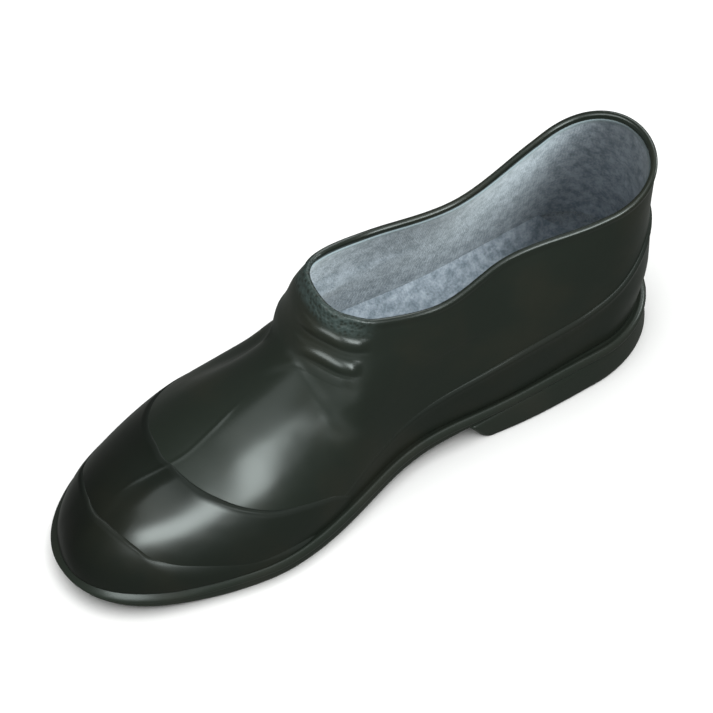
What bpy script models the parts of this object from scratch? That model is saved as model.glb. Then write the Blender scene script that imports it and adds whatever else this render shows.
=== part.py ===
"""Low slip-on rubber overshoe for the right foot.

Metres, +Z up, +X to the toe, +Y to the inner side of the foot. The shoe stands on z = 0, with the
origin under the middle of its box. Tables and sizes are in millimetres.

The upper is one surface of two parameters: t goes once round the foot (0 at the heel, half a turn at
the toe, the inner side first) and v climbs from the feather line, where upper meets sole, to the
collar. Toe cap, toe bumper and heel counter are cut from that same surface, a little further out.
"""

import math

import bmesh
import bpy
import numpy as np

MM = 0.001
OBJECT_NAME = "rubber_overshoe_right"

# Upper: driving sizes of the last
TOE_X = 149.0
HEEL_X = -150.0
THROAT_X = 15.0
WALL = 2.5
TOE_ROUND = 92.0
TOE_POWER = 2.2
NOSE_ROUND = 41.0
NOSE_POWER = 2.3
HEEL_ROUND = 34.0
SECTION_POWER = 1.8
VAMP_POWER = 4
TURN_STEP = 0.02
CLIMB_STEP = 0.002
NECK_LOW = 25.0
NECK_BASE = 69.0

# Half widths on the inner (medial) and outer (lateral) side, and the height of the feather line
PLAN_COLUMNS = ("along", "medial", "lateral", "feather")
PLAN = (
    (0.00, 34.5, 34.0, 21.0),
    (0.12, 33.5, 34.5, 20.5),
    (0.30, 34.5, 35.5, 18.5),
    (0.45, 30.0, 41.5, 15.5),
    (0.62, 43.0, 48.0, 11.5),
    (0.72, 48.5, 48.5, 10.0),
    (0.85, 46.0, 46.0, 11.5),
    (1.00, 48.5, 40.5, 15.0),
)
PLAN_EASE = 0.05

# Height of the ridge over the foot, and how much of it is the steep neck of the throat
RIDGE_COLUMNS = ("x", "height", "neck")
RIDGE = (
    (-160.0, 250.0, 0.0),
    (-45.0, 150.0, 0.0),
    (17.0, 99.0, 13.0),
    (28.0, 69.5, 0.0),
    (70.0, 60.5, 0.0),
    (110.0, 47.5, 0.0),
    (149.0, 44.0, 0.0),
)
RIDGE_EASE = 5.0
RIDGE_SPARE = 12.0

# Collar: height of the rim, and how far each side is pinched in, from heel (0) to throat (1)
COLLAR_COLUMNS = ("share", "height", "medial", "lateral")
COLLAR = (
    (0.00, 107.0, 1.05, 1.00),
    (0.25, 97.5, 0.88, 0.87),
    (0.50, 93.5, 0.63, 0.69),
    (0.75, 88.8, 0.92, 0.95),
    (0.90, 93.0, 0.87, 1.02),
    (0.97, 97.3, 0.76, 1.07),
    (1.00, 99.0, 0.70, 1.09),
)

# Back seam, from the feather line (0) to the collar (1)
BACK_COLUMNS = ("climb", "place")
BACK = (
    (0.00, -140.5),
    (0.30, -146.0),
    (0.65, -146.5),
    (1.00, -149.0),
)

# Soft hollows beside the throat, where the rubber sinks between vamp and neck
HOLLOW_COLUMNS = ("turn", "climb", "turn_reach", "climb_reach", "depth")
HOLLOWS = (
    (0.88, 0.82, 0.090, 0.120, 1.5),
    (1.14, 0.72, 0.100, 0.120, 1.8),
    (1.25, 0.52, 0.090, 0.100, 5.0),
)

# Beads moulded across the throat: place on the outer and inner side, reach in half turns, height
BEAD_COLUMNS = ("outer", "inner", "reach", "height")
BEADS = (
    (0.815, 0.868, 0.185, 2.0),
    (0.685, 0.755, 0.165, 2.0),
)
BEAD_WIDTH = 0.026
BEND_FROM = -0.07
BEND_TO = 0.08
BEAD_FADE = 0.88
BEAD_NOSE = 0.16
OUTER_REACH = 0.05
OUTER_FADE = 0.07

# Overlays: edges in half turns from their own end of the shoe and in climb
OVERLAY_GAP = 0.5
OVERLAY_FOOT = 0.004
CAP_CLEAR = 0.010
TOE_CAP_COLUMNS = ("reach", "high")
TOE_CAP = (
    (0.000, 0.455),
    (0.025, 0.456),
    (0.053, 0.449),
    (0.077, 0.439),
    (0.113, 0.421),
    (0.149, 0.399),
    (0.193, 0.356),
    (0.226, 0.309),
    (0.253, 0.268),
    (0.287, 0.190),
    (0.315, 0.060),
)
TOE_CAP_THICK = 1.3
BUMPER_COLUMNS = ("reach", "high")
BUMPER = (
    (0.000, 0.302),
    (0.026, 0.302),
    (0.049, 0.293),
    (0.070, 0.277),
    (0.089, 0.252),
    (0.111, 0.214),
    (0.157, 0.163),
    (0.187, 0.124),
    (0.211, 0.088),
    (0.245, 0.048),
    (0.275, 0.012),
)
BUMPER_THICK = 2.0
COUNTER_COLUMNS = ("reach", "high")
COUNTER = (
    (0.000, 0.610),
    (0.050, 0.606),
    (0.100, 0.595),
    (0.160, 0.565),
    (0.205, 0.520),
    (0.248, 0.468),
    (0.285, 0.418),
    (0.330, 0.365),
    (0.391, 0.332),
    (0.451, 0.330),
    (0.491, 0.325),
    (0.526, 0.310),
    (0.556, 0.290),
    (0.584, 0.268),
    (0.618, 0.225),
    (0.648, 0.130),
    (0.672, 0.040),
)
COUNTER_THICK = 1.3
COUNTER_BEND = 0.30

# Sole, heel block and insole
LIP = 4.0
HEEL_LIP = 5.5
HEEL_LIP_X = -60.0
HEEL_LIP_EASE = 60.0
PIECE_GAP = 0.3
SOLE_END = 0.2
SOLE_COLUMNS = ("along", "under")
SOLE = (
    (0.00, 15.5),
    (0.28, 13.0),
    (0.35, 10.5),
    (0.42, 7.0),
    (0.52, 3.2),
    (0.60, 0.6),
    (0.64, 0.0),
    (0.80, 0.0),
    (0.90, 2.6),
    (1.00, 7.5),
)
# Side profiles: inset from the outline, and share of the thickness counted from the underside.
# At the pointed ends of an outline the inset is held to a share of the width that is left.
SOLE_SIDE = ((1.4, 0.0), (0.2, 0.25), (0.0, 0.6), (0.5, 0.88), (1.4, 1.0))
HEEL_SIDE = ((0.8, 0.0), (0.2, 0.1), (1.2, 1.0))
INSOLE_SIDE = ((0.4, 0.0), (0.0, 1.0))
INSET_SHARE = 0.12
SOLE_HEEL_ROUND = 42.0
BREAST_X = -43.0
BREAST_SLANT = 8.0
BREAST_REACH = 18.0
INSOLE_THICK = 3.0
INSOLE_CLEAR = 1.0

# Main tread: grooves across the forefoot and across the heel
GROOVE_WIDTH = 5.0
GROOVE_DEPTH = 2.4
GROOVE_PITCH = 12.0
GROOVE_MARGIN = 9.0
FOREFOOT_GROOVE_X = 26.0
FOREFOOT_GROOVES = 9
HEEL_GROOVE_X = -128.0
HEEL_GROOVES = 6

# Mesh counts, with the upper's levels of climb as stretches: from, to, count
COLUMNS = 68
COLUMN_CROWD = 0.2
OUTER_LEVELS = ((0.0, 0.30, 8), (0.34, 0.48, 4), (0.51, 0.59, 5), (0.605, 0.665, 5),
                (0.68, 0.92, 13), (0.96, 1.0, 2))
INNER_LEVELS = ((0.0, 0.30, 4), (0.37, 0.51, 3), (0.54, 0.66, 6), (0.70, 1.0, 4))
PROFILE_POINTS = 2000
CAP_ROWS = 6
BUMPER_ROWS = 8
COUNTER_ROWS = 10
SOLE_STATIONS = 42
HEEL_STATIONS = 16
INSOLE_STATIONS = 30

SHARP_ANGLE = math.radians(40)

# Colours: red, green, blue and roughness
MATERIALS = {
    "upper": (0.030, 0.034, 0.031, 0.34),
    "toe_cap": (0.030, 0.034, 0.031, 0.32),
    "toe_bumper": (0.030, 0.033, 0.030, 0.38),
    "heel_counter": (0.031, 0.034, 0.031, 0.36),
    "outsole": (0.032, 0.034, 0.031, 0.48),
    "heel": (0.032, 0.034, 0.031, 0.50),
    "insole": (0.420, 0.450, 0.480, 0.92),
}


def through(table, column, x):
    """Monotone cubic curve through one column of a table, flat at each local high or low."""
    rows = np.asarray(table, float)
    xs, ys = rows[:, 0], rows[:, column]
    chord = np.diff(ys) / np.diff(xs)
    product = chord[:-1] * chord[1:]
    total = np.where(product > 0, chord[:-1] + chord[1:], 1.0)
    inside = np.where(product > 0, 2 * product / total, 0.0)
    slope = np.concatenate([chord[:1], inside, chord[-1:]])
    x = np.clip(x, xs[0], xs[-1])
    i = np.clip(np.searchsorted(xs, x, side="right") - 1, 0, len(xs) - 2)
    step = xs[i + 1] - xs[i]
    u = (x - xs[i]) / step
    blend = u * u * (3 - 2 * u)
    bow = u * (1 - u) * step * (slope[i] * (1 - u) - slope[i + 1] * u)
    return ys[i] * (1 - blend) + ys[i + 1] * blend + bow


def eased(table, column, x, reach):
    """The same curve, averaged over a short reach so that its bends are soft."""
    shifts = np.linspace(-reach, reach, 5)
    return sum(through(table, column, x + shift) for shift in shifts) / len(shifts)


def rounded(distance, power):
    """Round end: 0 at the tip, 1 from a distance of 1 on, as a quarter of a superellipse."""
    return (1 - (1 - np.clip(distance, 0, 1)) ** power) ** (1 / power)


def smooth_step(x):
    x = np.clip(x, 0, 1)
    return x * x * (3 - 2 * x)


def plan(name, x):
    along = (x - HEEL_X) / (TOE_X - HEEL_X)
    return eased(PLAN, PLAN_COLUMNS.index(name), along, PLAN_EASE)


def feather(x):
    return plan("feather", x)


def ridge(x, neck=1.0):
    """Height of the ridge above the feather line, rounded off over the nose of the toe.

    neck is the share of the throat's neck that counts, less for a section low on the side."""
    height = eased(RIDGE, RIDGE_COLUMNS.index("height"), x, RIDGE_EASE)
    height = height - eased(RIDGE, RIDGE_COLUMNS.index("neck"), x, RIDGE_EASE) * (1 - neck)
    return (height - feather(x)) * rounded((TOE_X - x) / NOSE_ROUND, NOSE_POWER)


def collar(name, share):
    return through(COLLAR, COLLAR_COLUMNS.index(name), share)


def level_front(v):
    """Where the level of climb v meets the ridge: the ridge profile read the other way round."""
    x = TOE_X - (TOE_X - THROAT_X + RIDGE_SPARE) * np.linspace(0, 1, PROFILE_POINTS) ** 2
    rise = np.maximum.accumulate(ridge(x))
    throat_rise = collar("height", 1.0) - feather(THROAT_X)
    return np.interp(v * throat_rise, rise, x)


def upper(t, v):
    """Outer face of the upper without its beads: a point in millimetres for each t and v."""
    share = (1 - np.cos(t)) / 2
    back = through(BACK, BACK_COLUMNS.index("place"), v)
    front = level_front(v)
    x = back + (THROAT_X - back) * share + (front - THROAT_X) * share ** VAMP_POWER
    rim_back = BACK[-1][1]
    rim_x = rim_back + (THROAT_X - rim_back) * share
    rise = v * (collar("height", share) - feather(rim_x))
    z = feather(x) + rise
    neck = smooth_step((z - NECK_LOW) / (NECK_BASE - NECK_LOW))
    crown = ridge(x, neck)
    section = np.sqrt(1 - np.clip(rise / np.maximum(crown, 0.001), 0, 1) ** SECTION_POWER)
    ends = rounded((TOE_X - x) / TOE_ROUND, TOE_POWER) * rounded((x - back) / HEEL_ROUND, 2)
    inner_side = np.sin(t) >= 0
    pinch = np.where(inner_side, collar("medial", share), collar("lateral", share))
    half = (plan("medial", x) + plan("lateral", x)) / 2 * ends * section * (1 - (1 - pinch) * v * v)
    y = (plan("medial", x) - plan("lateral", x)) / 2 + np.where(inner_side, half, -half)
    return np.stack([x, y, z], axis=-1)


def upper_normal(t, v):
    """Outward unit normal of the upper, from small steps along t and v."""
    along = upper(t + TURN_STEP, v) - upper(t - TURN_STEP, v)
    climb = upper(t, np.clip(v + CLIMB_STEP, 0, 1)) - upper(t, np.clip(v - CLIMB_STEP, 0, 1))
    normal = np.cross(climb, along)
    return normal / np.linalg.norm(normal, axis=-1, keepdims=True)


def hollow(t, v):
    """Soft hollows beside the throat: a bell in turn times a bell in climb."""
    total = 0.0
    for row in HOLLOWS:
        dip = dict(zip(HOLLOW_COLUMNS, row))
        across = ((t / math.pi - dip["turn"]) / dip["turn_reach"]) ** 2
        along = ((v - dip["climb"]) / dip["climb_reach"]) ** 2
        total = total - dip["depth"] * np.exp(-across - along)
    return total


def skin(t, v, out):
    """Point at a distance out from the upper's face, negative on the inside."""
    return upper(t, v) + (np.asarray(out) + hollow(t, v))[..., None] * upper_normal(t, v)


def bead_height(t, v):
    """How far the moulded beads stand out of the throat. They end in a round nose on the inner side
    and melt away just past the middle."""
    turn = 1 - t / math.pi
    bend = smooth_step((turn - BEND_FROM) / (BEND_TO - BEND_FROM))
    melt = smooth_step((turn + OUTER_REACH) / OUTER_FADE)
    total = 0.0
    for row in BEADS:
        bead = dict(zip(BEAD_COLUMNS, row))
        centre = bead["outer"] + (bead["inner"] - bead["outer"]) * bend
        swell = np.exp(-((v - centre) / BEAD_WIDTH) ** 2)
        nose = 1 - smooth_step((np.abs(turn) / bead["reach"] - BEAD_FADE) / BEAD_NOSE)
        total = total + bead["height"] * swell * nose * melt
    return total


def column_turns():
    """Turns of the upper's columns, closer together at the heel and at the toe."""
    even = np.linspace(0, 2 * math.pi, COLUMNS, endpoint=False)
    return even - COLUMN_CROWD * np.sin(2 * even)


def sole_lip(x):
    """How far the sole stands out of the upper, a little more round the heel."""
    return LIP + (HEEL_LIP - LIP) * smooth_step((HEEL_LIP_X - x) / HEEL_LIP_EASE)


def sole_edges(x, inset):
    """Inner and outer edge of the sole at x, moved in by inset."""
    toe, heel = sole_ends(inset)
    lip = sole_lip(x) - inset
    ends = rounded((toe - x) / TOE_ROUND, TOE_POWER) * rounded((x - heel) / SOLE_HEEL_ROUND, 2)
    half = ((plan("medial", x) + plan("lateral", x)) / 2 + lip) * ends
    middle = (plan("medial", x) - plan("lateral", x)) / 2
    return middle + half, middle - half


def sole_ends(inset):
    return TOE_X + LIP - inset, BACK[0][1] - HEEL_LIP + inset


def sole_under(x):
    along = (x - HEEL_X) / (TOE_X - HEEL_X)
    return through(SOLE, SOLE_COLUMNS.index("under"), along)


def shoe_centre():
    """Middle of the whole shoe's box, which becomes the origin: from the back of the collar to the toe
    of the sole, and across the sole's outline."""
    toe, heel = sole_ends(SOLE_END)
    climb = levels(OUTER_LEVELS)
    back = skin(np.zeros(climb.shape), climb, np.zeros(climb.shape))
    medial, lateral = sole_edges(np.linspace(heel, toe, PROFILE_POINTS), 0.0)
    return np.array([(toe + back[:, 0].min()) / 2, (medial.max() + lateral.min()) / 2, 0.0])


def material(name):
    red, green, blue, roughness = MATERIALS[name]
    made = bpy.data.materials.new(name)
    made.use_nodes = True
    shader = made.node_tree.nodes["Principled BSDF"]
    shader.inputs["Base Color"].default_value = (red, green, blue, 1.0)
    shader.inputs["Roughness"].default_value = roughness
    shader.inputs["Metallic"].default_value = 0.0
    return made


def quads(index, ring):
    """Corner numbers of the faces of a grid of vertices, closed round its rows for a ring."""
    left = index if ring else index[:, :-1]
    right = np.roll(index, -1, axis=1) if ring else index[:, 1:]
    return np.stack([left[:-1], right[:-1], right[1:], left[1:]], axis=-1).reshape(-1, 4).tolist()


def add_piece(name, points, faces, collection):
    """Mesh object in metres about the shoe's own origin, with its faces turned outwards."""
    mesh = bpy.data.meshes.new(name)
    mesh.from_pydata(((points - shoe_centre()) * MM).tolist(), [], faces)
    shape = bmesh.new()
    shape.from_mesh(mesh)
    bmesh.ops.recalc_face_normals(shape, faces=shape.faces)
    shape.to_mesh(mesh)
    shape.free()
    mesh.shade_smooth()
    mesh.set_sharp_from_angle(angle=SHARP_ANGLE)
    mesh.materials.append(material(name))
    piece = bpy.data.objects.new(name, mesh)
    collection.objects.link(piece)
    return piece


def shell(name, outer, inner, ring, collection):
    """Closed solid between an outer and an inner grid that share their border columns."""
    rows_out, columns = outer.shape[:2]
    rows_in = inner.shape[0]
    out = np.arange(rows_out * columns).reshape(rows_out, columns)
    into = np.arange(rows_in * columns).reshape(rows_in, columns) + out.size
    faces = quads(out, ring) + quads(into, ring)
    faces += quads(np.stack([out[0], into[0]]), ring)
    faces += quads(np.stack([out[-1], into[-1]]), ring)
    if not ring:
        for side in (0, -1):
            faces += quads(np.stack([out[:, side], into[:, side]]), False)
    points = np.concatenate([outer.reshape(-1, 3), inner.reshape(-1, 3)])
    return add_piece(name, points, faces, collection)


def levels(stretches):
    return np.concatenate([np.linspace(*stretch) for stretch in stretches])


def make_upper(collection):
    """Hollow upper: beaded outside, plain inside, open at the collar and underneath."""
    t, v = np.meshgrid(column_turns(), levels(OUTER_LEVELS))
    outer = skin(t, v, bead_height(t, v))
    t, v = np.meshgrid(column_turns(), levels(INNER_LEVELS))
    inner = skin(t, v, np.full(t.shape, -WALL))
    return shell("upper", outer, inner, True, collection)


def overlay(name, t, v, thick, collection):
    """Proud piece on the upper: its own surface moved out twice, by the gap and by the thickness."""
    inner = skin(t, v, np.full(t.shape, OVERLAY_GAP))
    outer = skin(t, v, np.full(t.shape, OVERLAY_GAP + thick))
    return shell(name, outer, inner, False, collection)


def toe_reaches(table):
    """Both halves of a toe overlay's columns, in half turns from the toe."""
    last = table[-1][0]
    turns = column_turns() / math.pi - 1
    inside = turns[np.abs(turns) < last - 0.01]
    return np.concatenate([[-last], inside, [last]])


def make_toe_cap(collection):
    reach = toe_reaches(TOE_CAP)
    low = through(BUMPER, BUMPER_COLUMNS.index("high"), np.abs(reach)) + CAP_CLEAR
    high = through(TOE_CAP, TOE_CAP_COLUMNS.index("high"), np.abs(reach))
    share = np.linspace(0, 1, CAP_ROWS)[:, None]
    v = low + (high - low) * share
    t = np.broadcast_to(math.pi * (1 + reach), v.shape)
    return overlay("toe_cap", t, v, TOE_CAP_THICK, collection)


def make_toe_bumper(collection):
    reach = toe_reaches(BUMPER)
    high = through(BUMPER, BUMPER_COLUMNS.index("high"), np.abs(reach))
    share = np.linspace(0, 1, BUMPER_ROWS)[:, None]
    v = OVERLAY_FOOT + (high - OVERLAY_FOOT) * share
    t = np.broadcast_to(math.pi * (1 + reach), v.shape)
    return overlay("toe_bumper", t, v, BUMPER_THICK, collection)


def make_heel_counter(collection):
    """Counter round the heel, from the feather line up to its edge."""
    places = np.asarray(COUNTER)[:, 0]
    between = (places[:-1] + places[1:]) / 2
    half = np.sort(np.concatenate([places, between[between < COUNTER_BEND]]))
    reach = np.concatenate([-half[:0:-1], half])
    high = through(COUNTER, COUNTER_COLUMNS.index("high"), np.abs(reach))
    share = np.linspace(0, 1, COUNTER_ROWS)[:, None]
    v = OVERLAY_FOOT + (high - OVERLAY_FOOT) * share
    t = np.broadcast_to(math.pi * reach, v.shape)
    return overlay("heel_counter", t, v, COUNTER_THICK, collection)


def inset_edges(medial, lateral, inset):
    """Both edges moved in, by no more than a share of the width between them."""
    held = np.minimum(inset, (medial - lateral) * INSET_SHARE)
    return medial - held, lateral + held


def slab(name, x, edges, under, top, side, collection, lean=None):
    """Solid lofted along x: each section has a flat top, a flat underside and the side profile.

    lean(x) is how far the top of a section stands in front of its underside."""
    rings = []
    for inset, share in side:
        place = x if lean is None else x + lean(x) * share
        medial, lateral = edges(place, inset)
        z = under(place) + (top(place) - under(place)) * share
        rings.append((place, medial, lateral, z))
    across = [np.stack([place, medial, z], axis=-1) for place, medial, lateral, z in rings]
    place, medial, lateral, z = rings[-1]
    across += [np.stack([place, (medial + lateral) / 2, z], axis=-1)]
    across += [np.stack([place, lateral, z], axis=-1) for place, medial, lateral, z in reversed(rings)]
    place, medial, lateral, z = rings[0]
    across += [np.stack([place, (medial + lateral) / 2, z], axis=-1)]
    points = np.stack(across, axis=1)
    index = np.arange(points.shape[0] * points.shape[1]).reshape(points.shape[:2])
    faces = quads(index, True) + [index[0].tolist(), index[-1].tolist()]
    return add_piece(name, points.reshape(-1, 3), faces, collection)


def stations(first, last, count, round_first, round_last):
    """Places of the sections, closer together where an end is round."""
    angle = np.linspace(0 if round_first else math.pi / 2, math.pi if round_last else math.pi / 2, count)
    share = (1 - np.cos(angle)) / 2
    share = (share - share[0]) / (share[-1] - share[0])
    return first + (last - first) * share


def cut_grooves(piece, first, count, under, cutters):
    """Cut a row of grooves across the underside, each square to the curve of the sole."""
    for number in range(count):
        x = first + number * GROOVE_PITCH
        medial, lateral = sole_edges(np.array(x), GROOVE_MARGIN)
        slope = (under(np.array(x + 1.0)) - under(np.array(x - 1.0))) / 2.0
        place = (np.array([x, (medial + lateral) / 2, under(np.array(x))]) - shoe_centre()) * MM
        bpy.ops.mesh.primitive_cube_add(size=1.0, location=place.tolist())
        cutter = bpy.context.object
        cutter.name = f"{piece.name}_groove_{number + 1}"
        cutter.scale = (GROOVE_WIDTH * MM, float(medial - lateral) * MM, 2 * GROOVE_DEPTH * MM)
        cutter.rotation_euler = (0.0, -math.atan(float(slope)), 0.0)
        cutter.hide_render = True
        cutter.display_type = "WIRE"
        for owner in list(cutter.users_collection):
            owner.objects.unlink(cutter)
        cutters.objects.link(cutter)
        cut = piece.modifiers.new(cutter.name, "BOOLEAN")
        cut.operation = "DIFFERENCE"
        cut.solver = "EXACT"
        cut.object = cutter


def make_outsole(collection, cutters):
    toe, heel = sole_ends(0.0)
    x = stations(heel + SOLE_END, toe - SOLE_END, SOLE_STATIONS, True, True)

    def edges(x, inset):
        return inset_edges(*sole_edges(x, 0.0), inset)

    def top(x):
        return feather(x) - PIECE_GAP

    piece = slab("outsole", x, edges, sole_under, top, SOLE_SIDE, collection)
    cut_grooves(piece, FOREFOOT_GROOVE_X, FOREFOOT_GROOVES, sole_under, cutters)
    return piece


def make_heel(collection, cutters):
    """Heel block under the rear of the sole, with a flat breast that slants towards the arch."""
    deepest = max(inset for inset, share in HEEL_SIDE)
    first = sole_ends(deepest)[1] + SOLE_END
    x = stations(first, BREAST_X, HEEL_STATIONS, True, False)

    def floor(x):
        return np.zeros(np.shape(x))

    def top(x):
        return sole_under(x) - PIECE_GAP

    def lean(x):
        return BREAST_SLANT * smooth_step((x - BREAST_X + BREAST_REACH) / BREAST_REACH)

    piece = slab("heel", x, sole_edges, floor, top, HEEL_SIDE, collection, lean)
    cut_grooves(piece, HEEL_GROOVE_X, HEEL_GROOVES, floor, cutters)
    return piece


def make_insole(collection):
    """Insole that lies on the sole inside the upper, clear of its wall."""
    margin = WALL + INSOLE_CLEAR
    heel = BACK[0][BACK_COLUMNS.index("place")] + margin
    toe = TOE_X - margin
    x = stations(heel + SOLE_END, toe - SOLE_END, INSOLE_STATIONS, True, True)

    def edges(x, inset):
        ends = rounded((toe - x) / TOE_ROUND, TOE_POWER) * rounded((x - heel) / HEEL_ROUND, 2)
        half = ((plan("medial", x) + plan("lateral", x)) / 2 - margin) * ends
        middle = (plan("medial", x) - plan("lateral", x)) / 2
        return inset_edges(middle + half, middle - half, inset)

    def under(x):
        return feather(x) + PIECE_GAP

    def top(x):
        return under(x) + INSOLE_THICK

    return slab("insole", x, edges, under, top, INSOLE_SIDE, collection)


def new_collection(name):
    made = bpy.data.collections.new(name)
    bpy.context.scene.collection.children.link(made)
    return made


def main():
    for old in list(bpy.data.objects):
        bpy.data.objects.remove(old, do_unlink=True)
    parts = new_collection(OBJECT_NAME)
    cutters = new_collection("cutters")
    make_upper(parts)
    make_toe_cap(parts)
    make_toe_bumper(parts)
    make_heel_counter(parts)
    make_outsole(parts, cutters)
    make_heel(parts, cutters)
    make_insole(parts)


main()
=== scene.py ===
# %% [markdown]
# # A low rubber overshoe, drawn as surfaces of two parameters
#
# The shoe is moulded rubber pulled over a last, which is the wooden or metal form of a foot. Its whole
# outside can be written as one function: one number says how far round the foot we are, another how
# high up the side. This lesson repeats that function on fine grids, adds what is too small for the
# solid model, and gives each material its grain and gloss. Nothing is moved: every piece stands where
# the packed model says.

# %% Load the packed model
import math

import bmesh
import bpy
import numpy as np
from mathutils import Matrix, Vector


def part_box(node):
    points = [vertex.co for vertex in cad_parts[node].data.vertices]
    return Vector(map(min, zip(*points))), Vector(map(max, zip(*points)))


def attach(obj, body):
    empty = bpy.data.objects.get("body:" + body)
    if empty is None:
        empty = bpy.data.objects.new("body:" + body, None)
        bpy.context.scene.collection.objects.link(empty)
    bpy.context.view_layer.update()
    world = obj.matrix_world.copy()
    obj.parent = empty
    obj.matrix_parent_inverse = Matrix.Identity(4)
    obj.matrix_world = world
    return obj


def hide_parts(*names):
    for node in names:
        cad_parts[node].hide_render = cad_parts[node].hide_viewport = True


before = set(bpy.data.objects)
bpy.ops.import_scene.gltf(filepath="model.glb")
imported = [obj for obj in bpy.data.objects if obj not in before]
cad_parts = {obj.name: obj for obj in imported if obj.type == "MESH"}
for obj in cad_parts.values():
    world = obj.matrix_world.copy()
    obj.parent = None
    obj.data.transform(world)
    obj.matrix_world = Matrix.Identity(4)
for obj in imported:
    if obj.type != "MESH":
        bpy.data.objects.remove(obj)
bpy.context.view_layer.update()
print("nodes:", sorted(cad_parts))

# %% [markdown]
# ## Camera
#
# The photograph looks down on the inner side of the shoe from a long way off, so its lines hardly
# converge. A long lens at the same angle and distance gives the same outline. The camera could be
# placed by hand, but an azimuth, an elevation and a distance are easier to read and to change.

# %% Camera at the photograph's angle
FRAME_PIXELS = 713
FOCAL_PIXELS = 5759.0
SENSOR_MM = 36.0
CAMERA_AZIMUTH = 147.2
CAMERA_ELEVATION = 54.0
CAMERA_DISTANCE = 2.5
LOOK_AT = Vector((-0.0019, 0.0003, 0.050))


def direction(azimuth, elevation):
    """Unit vector from the shoe towards a place at this azimuth and elevation, in degrees.

    Azimuth 0 is on the outer side of the shoe, 90 in front of the toe, 180 on the inner side."""
    a = math.radians(azimuth)
    e = math.radians(elevation)
    return Vector((math.sin(a) * math.cos(e), -math.cos(a) * math.cos(e), math.sin(e)))


def aim(thing, azimuth, elevation, distance):
    """Stand a camera or a lamp at a distance from the shoe, looking at it."""
    away = direction(azimuth, elevation)
    thing.location = LOOK_AT + away * distance
    thing.rotation_euler = away.to_track_quat("Z", "Y").to_euler()


scene = bpy.context.scene
camera = bpy.data.objects.new("camera", bpy.data.cameras.new("camera"))
scene.collection.objects.link(camera)
camera.data.sensor_width = SENSOR_MM
camera.data.lens = SENSOR_MM * FOCAL_PIXELS / FRAME_PIXELS
aim(camera, CAMERA_AZIMUTH, CAMERA_ELEVATION, CAMERA_DISTANCE)
scene.camera = camera
print("lens in mm:", round(camera.data.lens, 1))

# %% [markdown]
# ## Sizes of the last
#
# These tables are the shoe's measurements in millimetres: half widths along the foot, the height of
# the ridge over it, the height and pinch of the collar, the lean of the back, and soft hollows beside
# the throat. A smooth curve runs through each column. The solid model of the last is built from the
# same numbers, so the fine surfaces need no fitting.

# %% Tables of the last
MM = 0.001
TOE_X = 149.0
HEEL_X = -150.0
THROAT_X = 15.0
TOE_ROUND = 92.0
TOE_POWER = 2.2
NOSE_ROUND = 41.0
NOSE_POWER = 2.3
HEEL_ROUND = 34.0
SECTION_POWER = 1.8
VAMP_POWER = 4
TURN_STEP = 0.02
CLIMB_STEP = 0.002
NECK_LOW = 25.0
NECK_BASE = 69.0
PROFILE_POINTS = 4000
EASE_POINTS = 5

PLAN_COLUMNS = ("along", "medial", "lateral", "feather")
PLAN = (
    (0.00, 34.5, 34.0, 21.0),
    (0.12, 33.5, 34.5, 20.5),
    (0.30, 34.5, 35.5, 18.5),
    (0.45, 30.0, 41.5, 15.5),
    (0.62, 43.0, 48.0, 11.5),
    (0.72, 48.5, 48.5, 10.0),
    (0.85, 46.0, 46.0, 11.5),
    (1.00, 48.5, 40.5, 15.0),
)
PLAN_EASE = 0.05

RIDGE_COLUMNS = ("x", "height", "neck")
RIDGE = (
    (-160.0, 250.0, 0.0),
    (-45.0, 150.0, 0.0),
    (17.0, 99.0, 13.0),
    (28.0, 69.5, 0.0),
    (70.0, 60.5, 0.0),
    (110.0, 47.5, 0.0),
    (149.0, 44.0, 0.0),
)
RIDGE_EASE = 5.0
RIDGE_SPARE = 12.0

COLLAR_COLUMNS = ("share", "height", "medial", "lateral")
COLLAR = (
    (0.00, 107.0, 1.05, 1.00),
    (0.25, 97.5, 0.88, 0.87),
    (0.50, 93.5, 0.63, 0.69),
    (0.75, 88.8, 0.92, 0.95),
    (0.90, 93.0, 0.87, 1.02),
    (0.97, 97.3, 0.76, 1.07),
    (1.00, 99.0, 0.70, 1.09),
)

BACK_COLUMNS = ("climb", "place")
BACK = (
    (0.00, -140.5),
    (0.30, -146.0),
    (0.65, -146.5),
    (1.00, -149.0),
)

HOLLOW_COLUMNS = ("turn", "climb", "turn_reach", "climb_reach", "depth")
HOLLOWS = (
    (0.88, 0.82, 0.090, 0.120, 1.5),
    (1.14, 0.72, 0.100, 0.120, 1.8),
    (1.25, 0.52, 0.090, 0.100, 5.0),
)
print("shoe length between the ends of the last in mm:", TOE_X - HEEL_X)


# %% [markdown]
# ## The surface of the last
#
# `upper(t, v)` gives a point of the outside for a turn t (0 at the heel, half a turn at the toe, the
# inner side first) and a climb v (0 where the upper meets the sole, 1 at the collar). It could be a
# subdivision cage, but a formula keeps every seam and bead exactly on the surface, at any resolution.

# %% Curves through the tables
def through(table, column, x):
    """Monotone cubic through one column: each stretch is a Hermite curve, flat at a local high or low."""
    rows = np.asarray(table, float)
    xs, ys = rows[:, 0], rows[:, column]
    chord = np.diff(ys) / np.diff(xs)
    product = chord[:-1] * chord[1:]
    total = np.where(product > 0, chord[:-1] + chord[1:], 1.0)
    inside = np.where(product > 0, 2 * product / total, 0.0)
    slope = np.concatenate([chord[:1], inside, chord[-1:]])
    x = np.clip(x, xs[0], xs[-1])
    i = np.clip(np.searchsorted(xs, x, side="right") - 1, 0, len(xs) - 2)
    step = xs[i + 1] - xs[i]
    u = (x - xs[i]) / step
    blend = u * u * (3 - 2 * u)
    bow = u * (1 - u) * step * (slope[i] * (1 - u) - slope[i + 1] * u)
    return ys[i] * (1 - blend) + ys[i + 1] * blend + bow


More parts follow.
